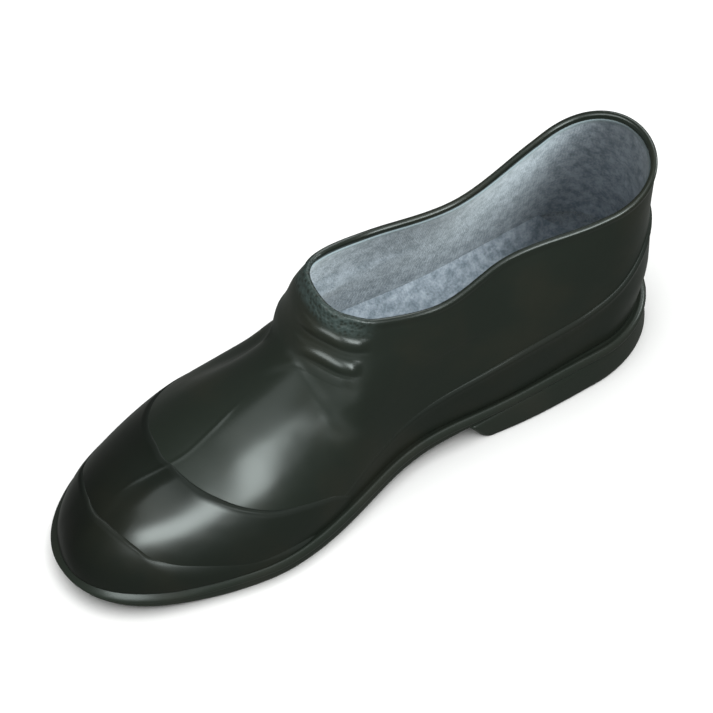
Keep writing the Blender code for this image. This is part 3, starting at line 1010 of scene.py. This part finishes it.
def sole_edges(x):
    """Inner and outer edge of the sole at x: the foot's half width and the lip, rounded at both ends."""
    heel, toe = sole_end(0.0)
    lip = LIP + (HEEL_LIP - LIP) * smooth_step((HEEL_LIP_X - x) / HEEL_LIP_EASE)
    ends = rounded((toe - x) / TOE_ROUND, TOE_POWER) * rounded((x - heel) / SOLE_HEEL_ROUND, 2)
    half = (half_width(x) + lip) * ends
    return middle(x) + half, middle(x) - half


def outline(first, last, count, edges):
    """Points round the sole from heel to toe on the inner side and back on the outer side."""
    x = first + (last - first) * (1 - np.cos(np.linspace(0, math.pi, count))) / 2
    medial, lateral = edges(x)
    there = np.stack([x, medial], axis=-1)
    back = np.stack([x, lateral], axis=-1)[-2:0:-1]
    return np.concatenate([there, back])


def outward(points):
    """Unit normals of a closed outline in plan, pointing out of it."""
    run = np.roll(points, -1, axis=0) - np.roll(points, 1, axis=0)
    normal = unit(np.stack([run[:, 1], -run[:, 0]], axis=-1))
    middle_point = points.mean(axis=0)
    inside = np.sum(normal * (points - middle_point), axis=-1).sum() < 0
    return -normal if inside else normal


heel_x, toe_x = sole_end(0.0)
SOLE_POINTS = 460
sole_line = outline(heel_x, toe_x, SOLE_POINTS, sole_edges)
sole_out = outward(sole_line)
print("points round the sole:", len(sole_line))

# %% Profiles of the sole's edge
# Profiles of the edge: inset and drop below the top in mm; a narrow channel parts the lip from the upper
LIP_ROUND = (
    (9.0, 0.1), (6.2, 0.7), (4.6, 0.8), (3.4, 0.8), (2.9, 0.4), (2.2, 0.1), (1.4, 0.3),
    (0.7, 0.9), (0.2, 1.75), (0.0, 2.6), (0.1, 3.4), (0.5, 4.1), (1.1, 4.6), (1.5, 4.9),
)
LIP_TOE = (
    (9.0, 0.1), (6.2, 0.1), (4.6, 0.1), (3.9, 0.1), (3.2, 0.2), (2.7, 0.5), (2.1, 1.05),
    (1.4, 1.75), (0.8, 2.4), (0.4, 2.9), (0.1, 3.4), (0.0, 3.9), (0.4, 4.6), (1.2, 4.95),
)
LIP_TOE_FROM = 82.0
LIP_TOE_EASE = 36.0
# Wall below the lip: inset and drop in mm, and share of the way down to the underside
WALL_PROFILE = (
    (1.55, 5.1, 0.0), (1.45, 5.2, 0.10), (1.3, 5.2, 0.45), (1.3, 5.2, 0.72), (1.6, 5.2, 0.90),
    (2.3, 5.2, 0.98), (3.2, 5.2, 1.0),
)
print("rows of the edge:", len(LIP_ROUND) + len(WALL_PROFILE))

# %% Grooves, and rows to the spine
GROOVE_WIDTH = 5.0
GROOVE_DEPTH = 2.4
GROOVE_PITCH = 12.0
GROOVE_MARGIN = 9.0
GROOVE_WALL = 1.8
FOREFOOT_GROOVE_X = 26.0
FOREFOOT_GROOVES = 9
MERGE = 0.001


def grooves(x, from_edge, first, count):
    """Depth of a row of grooves: a trough with steep walls at each pitch, closed before the edge."""
    number = np.clip(np.round((x - first) / GROOVE_PITCH), 0, count - 1)
    away = np.abs(x - first - number * GROOVE_PITCH)
    trough = 1 - smooth_step((away - GROOVE_WIDTH / 2 + GROOVE_WALL / 2) / GROOVE_WALL)
    return GROOVE_DEPTH * trough * smooth_step((from_edge - GROOVE_MARGIN) / GROOVE_WALL)


def inwards(line, out, first_inset, rows, spine):
    """Plan positions from an inset ring to the spine, and their distance from the outline."""
    start = line - out * first_inset
    share = np.linspace(0, 1, rows)[None, :, None]
    place = start[:, None] + (spine[:, None] - start[:, None]) * share
    return place, np.linalg.norm(place - line[:, None], axis=-1)


def sole_piece(name, node, top, edge, under):
    """Loft whose rings run from the spine over the top, down the edge and back to the spine below.

    Each of the three is a pair: places in plan and their heights."""
    rows = [np.concatenate([flat, height[..., None]], axis=-1) for flat, height in (top, edge, under)]
    rings = np.concatenate([rows[0][:, :0:-1], rows[1], rows[2][:, 1:]], axis=1)
    piece = loft(name, rings, True, marks={"band": np.zeros((1, 1))}, merge=MERGE)
    stand_for(piece, node, "sole_rubber", sole_rubber)


print("pitch of the grooves in mm:", GROOVE_PITCH)

# %% Outsole with lip and tread
SPINE_SHARE = 0.94
SOLE_GAP = 0.1
EDGE_LEAST = 5.3
UNDER_ROWS = 26
TOP_ROWS = 6

sole_middle = (heel_x + toe_x) / 2
spine_x = sole_middle + (sole_line[:, 0] - sole_middle) * SPINE_SHARE
spine = np.stack([spine_x, middle(spine_x)], axis=-1)
at_toe = smooth_step((sole_line[:, 0] - LIP_TOE_FROM) / LIP_TOE_EASE)[:, None, None]
lip_profile = np.asarray(LIP_ROUND) * (1 - at_toe) + np.asarray(LIP_TOE) * at_toe
wall_inset, wall_drop, wall_share = np.asarray(WALL_PROFILE).T
beside = np.ones((len(sole_line), 1))
inset = np.concatenate([lip_profile[..., 0], beside * wall_inset], axis=1)
drop = np.concatenate([lip_profile[..., 1], beside * wall_drop], axis=1)
share = np.concatenate([np.zeros(len(LIP_ROUND)), wall_share])
edge_plan = sole_line[:, None] - sole_out[:, None] * inset[..., None]
edge_top = feather(edge_plan[..., 0]) - SOLE_GAP
edge_low = np.minimum(sole_under(edge_plan[..., 0]), edge_top - EDGE_LEAST)
edge_z = edge_top - drop - (edge_top - drop - edge_low) * share
under_plan, from_edge = inwards(sole_line, sole_out, wall_inset[-1], UNDER_ROWS, spine)
under_z = sole_under(under_plan[..., 0])
under_z = under_z + grooves(under_plan[..., 0], from_edge, FOREFOOT_GROOVE_X, FOREFOOT_GROOVES)
top_plan, from_edge = inwards(sole_line, sole_out, LIP_ROUND[0][0], TOP_ROWS, spine)
top_z = feather(top_plan[..., 0]) - SOLE_GAP
sole_piece("rubber_outsole", "outsole", (top_plan, top_z), (edge_plan, edge_z), (under_plan, under_z))

# %% [markdown]
# ## Heel block
#
# The heel is a low block under the rear of the sole with a flat front, which shoemakers call the
# breast. It could be a bevelled box, but its back follows the sole, so it is lofted as the sole is,
# round an outline that ends in a straight line with rounded corners.

# %% Heel block
BREAST_X = -43.0
BREAST_CORNER = 4.0
BREAST_SLANT = 8.0
BREAST_REACH = 18.0
HEEL_BLOCK_ROUND = 46.0
HEEL_GROOVE_X = -128.0
HEEL_GROOVES = 6
# Profile of the block's edge: inset in mm and share of the height
HEEL_PROFILE = (
    (9.0, 1.0), (2.2, 1.0), (1.6, 0.97), (1.2, 0.90), (0.8, 0.75), (0.3, 0.50), (-0.2, 0.28),
    (-0.5, 0.12), (-0.5, 0.05), (-0.2, 0.015), (0.8, 0.0),
)
BREAST_POINTS = 60
HEEL_STATIONS = 150
HEEL_SPINE_SHARE = 0.7
HEEL_SEAT = 0.2
HEEL_UNDER_ROWS = 24
HEEL_TOP_ROWS = 4


def heel_edges(x):
    """Edges of the block: as wide as the sole, with a rounder back and a quarter circle at each corner
    of the breast."""
    lip = LIP + (HEEL_LIP - LIP) * smooth_step((HEEL_LIP_X + HEEL_LIP_EASE / 2 - x) / HEEL_LIP_EASE)
    half = (half_width(x) + lip) * rounded((x - heel_back) / HEEL_BLOCK_ROUND, 2)
    near = np.clip(1 - (BREAST_X - x) / BREAST_CORNER, 0, 1)
    corner = BREAST_CORNER * (1 - np.sqrt(1 - near ** 2))
    return middle(x) + half - corner, middle(x) - half + corner


heel_back = sole_end(0.0)[0]
x = heel_back + (BREAST_X - heel_back) * (1 - np.cos(np.linspace(0, math.pi, HEEL_STATIONS))) / 2
medial, lateral = heel_edges(x)
breast_y = np.linspace(medial[-1], lateral[-1], BREAST_POINTS)[1:-1]
heel_line = np.concatenate([
    np.stack([x, medial], axis=-1),
    np.stack([np.full(breast_y.shape, BREAST_X), breast_y], axis=-1),
    np.stack([x, lateral], axis=-1)[:0:-1],
])
heel_out = outward(heel_line)
heel_middle = (heel_back + BREAST_X) / 2
spine_x = heel_middle + (heel_line[:, 0] - heel_middle) * HEEL_SPINE_SHARE
spine = np.stack([spine_x, middle(spine_x)], axis=-1)
inset, share = np.asarray(HEEL_PROFILE).T
edge_plan = heel_line[:, None] - heel_out[:, None] * inset[None, :, None]
slant = BREAST_SLANT * smooth_step((heel_line[:, :1] - BREAST_X + BREAST_REACH) / BREAST_REACH)
edge_plan[..., 0] += slant * share
edge_z = (sole_under(edge_plan[..., 0]) + HEEL_SEAT) * share
under_plan, from_edge = inwards(heel_line, heel_out, inset[-1], HEEL_UNDER_ROWS, spine)
under_z = grooves(under_plan[..., 0], from_edge, HEEL_GROOVE_X, HEEL_GROOVES)
top_plan, from_edge = inwards(heel_line, heel_out, inset[0], HEEL_TOP_ROWS, spine)
top_z = sole_under(top_plan[..., 0]) + HEEL_SEAT
sole_piece("heel_block", "heel", (top_plan, top_z), (edge_plan, edge_z), (under_plan, under_z))

# %% [markdown]
# ## Knitted lining
#
# The inside is lined with a grey blue knit that is cured onto the rubber. A knit is columns of small
# V shaped stitches. The columns are sine waves across the cloth and the rows are sine waves up it,
# shifted within each column so that they lean both ways. The pattern reads a UV map in centimetres of
# cloth, so it follows the wall and keeps its size. From a distance the stitches hardly show, so most of
# the colour comes from fuzz and soft patches.

# %% Finish of the knit
KNIT_DARK = (0.130, 0.155, 0.186, 1.0)
KNIT_LIGHT = (0.362, 0.385, 0.442, 1.0)
# Painted shade: the darker colour of the cloth's edge where it meets the rim
KNIT_EDGE_SHADE = (0.17, 0.20, 0.22, 1.0)
WALE_CM = 0.14
COURSE_CM = 0.12
LEAN = 2.4
FUZZ_PER_M = 900.0
PATCHES_PER_M = 230.0
STITCH_MM = 0.03
FUZZ_MM = 0.25


def knit(name):
    """Knit from UV in cm: columns as the size of a sine, rows as a sine that leans within a column."""
    made, inputs, start = new_finish(name, Specular_IOR_Level=0.1, Sheen_Weight=0.25, Sheen_Roughness=0.6)
    weave = start.node("ShaderNodeUVMap", {"uv_map": "weave"})
    u = start.node("ShaderNodeSeparateXYZ", None, {0: weave}, 0)
    v = start.node("ShaderNodeSeparateXYZ", None, {0: weave}, 1)
    place = start.node("ShaderNodeTexCoord", None, None, "Object")
    fuzz = start.noise(place, FUZZ_PER_M, 3.0)
    patchy = start.noise(place, PATCHES_PER_M, 4.0)
    column = (u * (math.pi / WALE_CM)).sine().size()
    row = 0.5 + 0.5 * (v * (2 * math.pi / COURSE_CM) + column * LEAN).sine()
    stitch = column * (0.55 + 0.45 * row)
    light = (0.02 * stitch + 0.45 * fuzz + 0.85 * patchy).step(0.40, 0.94)
    cloth = light.mix(KNIT_DARK, KNIT_LIGHT)
    # Painted shade: the edge mark turns the cloth darker just under the rim
    colour = start.mark("edge").mix(cloth, KNIT_EDGE_SHADE)
    loops = start.bump(stitch, STITCH_MM)
    hairy = start.bump(fuzz, FUZZ_MM, loops)
    dull = 0.86 + 0.1 * fuzz
    feed(start, inputs, Base_Color=colour, Roughness=dull, Normal=hairy)
    return made


knit_lining = knit("knit_lining")
print("knit finish:", knit_lining.name)

# %% [markdown]
# ## Lining of the wall
#
# The cloth is a thin wall of its own inside the rubber, and stops just below the rim. The rings of the
# upper's wall make it too, at other distances from the last. Its edge is painted darker where it meets
# the rim: painted shade.

# %% Lining of the wall
LINING_TOP = 0.962
LINING_FOOT = 0.005
LINING = 0.8
BOND = 0.1
LINING_TURNS = 320
LINING_HIDDEN = 52
LINING_SEEN = 110
MEASURE_ROW = 60
EDGE_SHADE_BELOW = 0.018
EDGE_SHADE_EASE = 0.012
CM = 10.0


def lining_outside(t, v):
    """Distance of the cloth's back from the last: a bond's depth into the inner face of the rubber."""
    return np.full(np.broadcast(t, v).shape, BOND - WALL)


lining_turns = crowded(0, 2 * math.pi, LINING_TURNS + 1, TURN_PLACES[1:])[:-1]
climbs_hidden = crowded(LINING_FOOT, LINING_TOP, LINING_HIDDEN, CLIMB_PLACES[:2])
climbs_seen = crowded(LINING_FOOT, LINING_TOP, LINING_SEEN, CLIMB_PLACES[:2])
rings = wall_ring(lining_turns, lining_outside, -WALL - LINING, climbs_hidden, climbs_seen, LINING_TOP)
loop = np.concatenate([rings, rings[:1]], axis=0)
loop = np.concatenate([loop, loop[:, :1]], axis=1)
round_cm = np.cumsum(np.linalg.norm(np.diff(loop, axis=0, prepend=loop[:1]), axis=-1), axis=0) / CM
up_cm = np.cumsum(np.linalg.norm(np.diff(loop, axis=1, prepend=loop[:, :1]), axis=-1), axis=1) / CM
mid_row = LINING_HIDDEN + RIM_STEPS + MEASURE_ROW
uv = np.stack([np.broadcast_to(round_cm[:, mid_row:mid_row + 1], up_cm.shape), up_cm], axis=-1)
level = np.concatenate([climbs_hidden, np.full(RIM_STEPS, LINING_TOP), climbs_seen[::-1]])
# The edge mark is 1 just under the rim, where the cloth is painted darker as shade
edge = smooth_step((level - LINING_TOP + EDGE_SHADE_BELOW) / EDGE_SHADE_EASE)
lining = loft("knit_lining_wall", rings, True, uv=uv, marks={"edge": edge[None]})
stand_for(lining, None, "knit_lining", knit_lining)

# %% [markdown]
# ## Foot bed
#
# The foot bed lies in the shoe and is covered with the same knit. It curves up into the wall, so no
# corner shows through the collar. Stations along the foot run from wall to wall; a fillet lifts their
# ends, and the underside is narrower, so that it stays inside the rubber.

# %% Foot bed
BED_CLIMB = 0.20
BED_TOP = 3.3
BED_UNDER = 0.4
BED_TAPER_X = 0.07
BED_TAPER_Y = 0.22
BED_FILLET = 20.0
BED_FILLET_POWER = 3
BED_CLEAR = 0.3
BED_EDGE_POINTS = 800
BED_STATIONS = 220
BED_ACROSS = 61
BED_UNDER_STEP = 6

bed_turn = np.linspace(0, math.pi, BED_EDGE_POINTS)
bed_climb = np.full(BED_EDGE_POINTS, BED_CLIMB)
inner_edge = skin(bed_turn, bed_climb, lining_outside(bed_turn, bed_climb))
outer_edge = skin(-bed_turn, bed_climb, lining_outside(bed_turn, bed_climb))
first_x = max(inner_edge[0, 0], outer_edge[0, 0]) + BED_CLEAR
last_x = min(inner_edge[-1, 0], outer_edge[-1, 0]) - BED_CLEAR
x = first_x + (last_x - first_x) * (1 - np.cos(np.linspace(0, math.pi, BED_STATIONS))) / 2
order_in = np.argsort(inner_edge[:, 0])
order_out = np.argsort(outer_edge[:, 0])
medial = np.interp(x, inner_edge[order_in, 0], inner_edge[order_in, 1])
lateral = np.interp(x, outer_edge[order_out, 0], outer_edge[order_out, 1])
share = np.linspace(0, 1, BED_ACROSS)[None]
y = lateral[:, None] + (medial - lateral)[:, None] * share
from_edge = np.minimum(y - lateral[:, None], medial[:, None] - y)
from_edge = np.minimum(from_edge, np.minimum(x - first_x, last_x - x)[:, None])
edge_height = np.interp(x, inner_edge[order_in, 0], inner_edge[order_in, 2]) - feather(x) - BED_TOP
fillet = edge_height[:, None] * np.clip(1 - from_edge / BED_FILLET, 0, 1) ** BED_FILLET_POWER
along = np.broadcast_to(x[:, None], y.shape)
top = np.stack([along, y, feather(along) + BED_TOP + fillet], axis=-1)
bed_middle = (first_x + last_x) / 2
under_x = bed_middle + (along - bed_middle) * (1 - BED_TAPER_X)
under_y = middle(along) + (y - middle(along)) * (1 - BED_TAPER_Y)
under = np.stack([under_x, under_y, feather(under_x) + BED_UNDER], axis=-1)[:, ::-BED_UNDER_STEP]
rings = np.concatenate([top, under], axis=1)
uv_points = np.concatenate([rings, rings[:, :1]], axis=1)
uv = np.stack([uv_points[..., 1], uv_points[..., 0]], axis=-1) / CM
bed = loft("foot_bed", rings, False, uv=uv, marks={"edge": np.zeros((1, 1))})
stand_for(bed, "insole", "knit_lining", knit_lining)

# %% [markdown]
# ## Floor
#
# The photograph has a plain white ground with a faint soft shadow. The floor is one pale sheet. The
# rubber does not mirror it, because a white ground would turn the dark sides grey.

# %% Floor
FLOOR_HALF = 6.0
FLOOR_PALE = (0.93, 0.93, 0.93, 1.0)

floor_mesh = bpy.data.meshes.new("floor")
corner = FLOOR_HALF * np.array([(-1, -1, 0), (1, -1, 0), (1, 1, 0), (-1, 1, 0)], float)
floor_mesh.from_pydata(corner.tolist(), [], [(0, 1, 2, 3)])
floor = bpy.data.objects.new("floor", floor_mesh)
groups["ground"].objects.link(floor)
pale, inputs, start = new_finish("pale_floor", Roughness=0.9, Specular_IOR_Level=0.1)
inputs["Base Color"].default_value = FLOOR_PALE
floor_mesh.materials.append(pale)
floor.visible_glossy = False
print("floor side in m:", 2 * FLOOR_HALF)

# %% [markdown]
# ## World and lamps
#
# A highlight on glossy rubber is the picture of a lamp, and stands where a mirror there would show it.
# One large lamp would be simpler, but its picture would run from piece to piece. So each highlight has
# a soft box of its own, and light linking lets a box reach one group of pieces only: `soft_box` draws
# the streak on the toe cap, `vamp_box` the one on the vamp, `throat_box` those along the beads and
# `toe_box` the one on the lip. `upper_box`, `rear_box` and `fill_box` are weak, and lift the ridge, the
# heel and the outer side. `heel_box` and `front_box` light the cloth through the collar. The floor has
# a wide sun of its own, so it can be white while the room stays dim.

# %% World and lamps
WORLD_STRENGTH = 0.27
WORLD_TINT = (0.95, 1.0, 0.94, 1.0)
BOX_COLUMNS = ("name", "lights", "azimuth", "elevation", "distance", "wide", "high", "power")
BOXES = (
    ("soft_box", "layers", 168.0, 37.0, 1.2, 0.80, 0.38, 52.0),
    ("vamp_box", "upper", 175.0, 40.0, 1.2, 0.50, 0.75, 50.0),
    ("upper_box", "rubber", 190.0, 78.0, 1.2, 0.90, 0.85, 13.0),
    ("throat_box", "upper", 102.0, 36.0, 1.2, 1.20, 0.65, 56.0),
    ("toe_box", "sole", 137.0, 35.0, 1.2, 0.70, 0.45, 34.0),
    ("rear_box", "rubber", 260.0, 14.0, 1.2, 0.50, 0.25, 12.0),
    ("fill_box", "rubber", 305.0, 35.0, 1.2, 0.90, 0.60, 20.0),
    ("heel_box", "cloth", 238.0, 42.0, 1.2, 0.70, 0.60, 37.0),
    ("front_box", "cloth", 140.0, 55.0, 1.2, 0.80, 0.80, 3.6),
)
BOX_TINT = (0.90, 1.0, 0.98)
SUN_STRENGTH = 3.6
SUN_ANGLE = 1.4

world = bpy.data.worlds.new("studio")
world.use_nodes = True
world.node_tree.nodes["Background"].inputs["Color"].default_value = WORLD_TINT
world.node_tree.nodes["Background"].inputs["Strength"].default_value = WORLD_STRENGTH
scene.world = world
for row in BOXES:
    box = dict(zip(BOX_COLUMNS, row))
    lamp = bpy.data.objects.new(box["name"], bpy.data.lights.new(box["name"], "AREA"))
    scene.collection.objects.link(lamp)
    lamp.data.shape = "RECTANGLE"
    lamp.data.size = box["wide"]
    lamp.data.size_y = box["high"]
    lamp.data.energy = box["power"]
    lamp.data.color = BOX_TINT
    aim(lamp, box["azimuth"], box["elevation"], box["distance"])
    lamp.light_linking.receiver_collection = groups[box["lights"]]
    print(box["name"], "at", [round(number, 2) for number in lamp.location])
sun = bpy.data.objects.new("floor_light", bpy.data.lights.new("floor_light", "SUN"))
scene.collection.objects.link(sun)
sun.data.energy = SUN_STRENGTH
sun.data.angle = SUN_ANGLE
sun.light_linking.receiver_collection = groups["ground"]
scene.view_settings.view_transform = "Standard"

# %% [markdown]
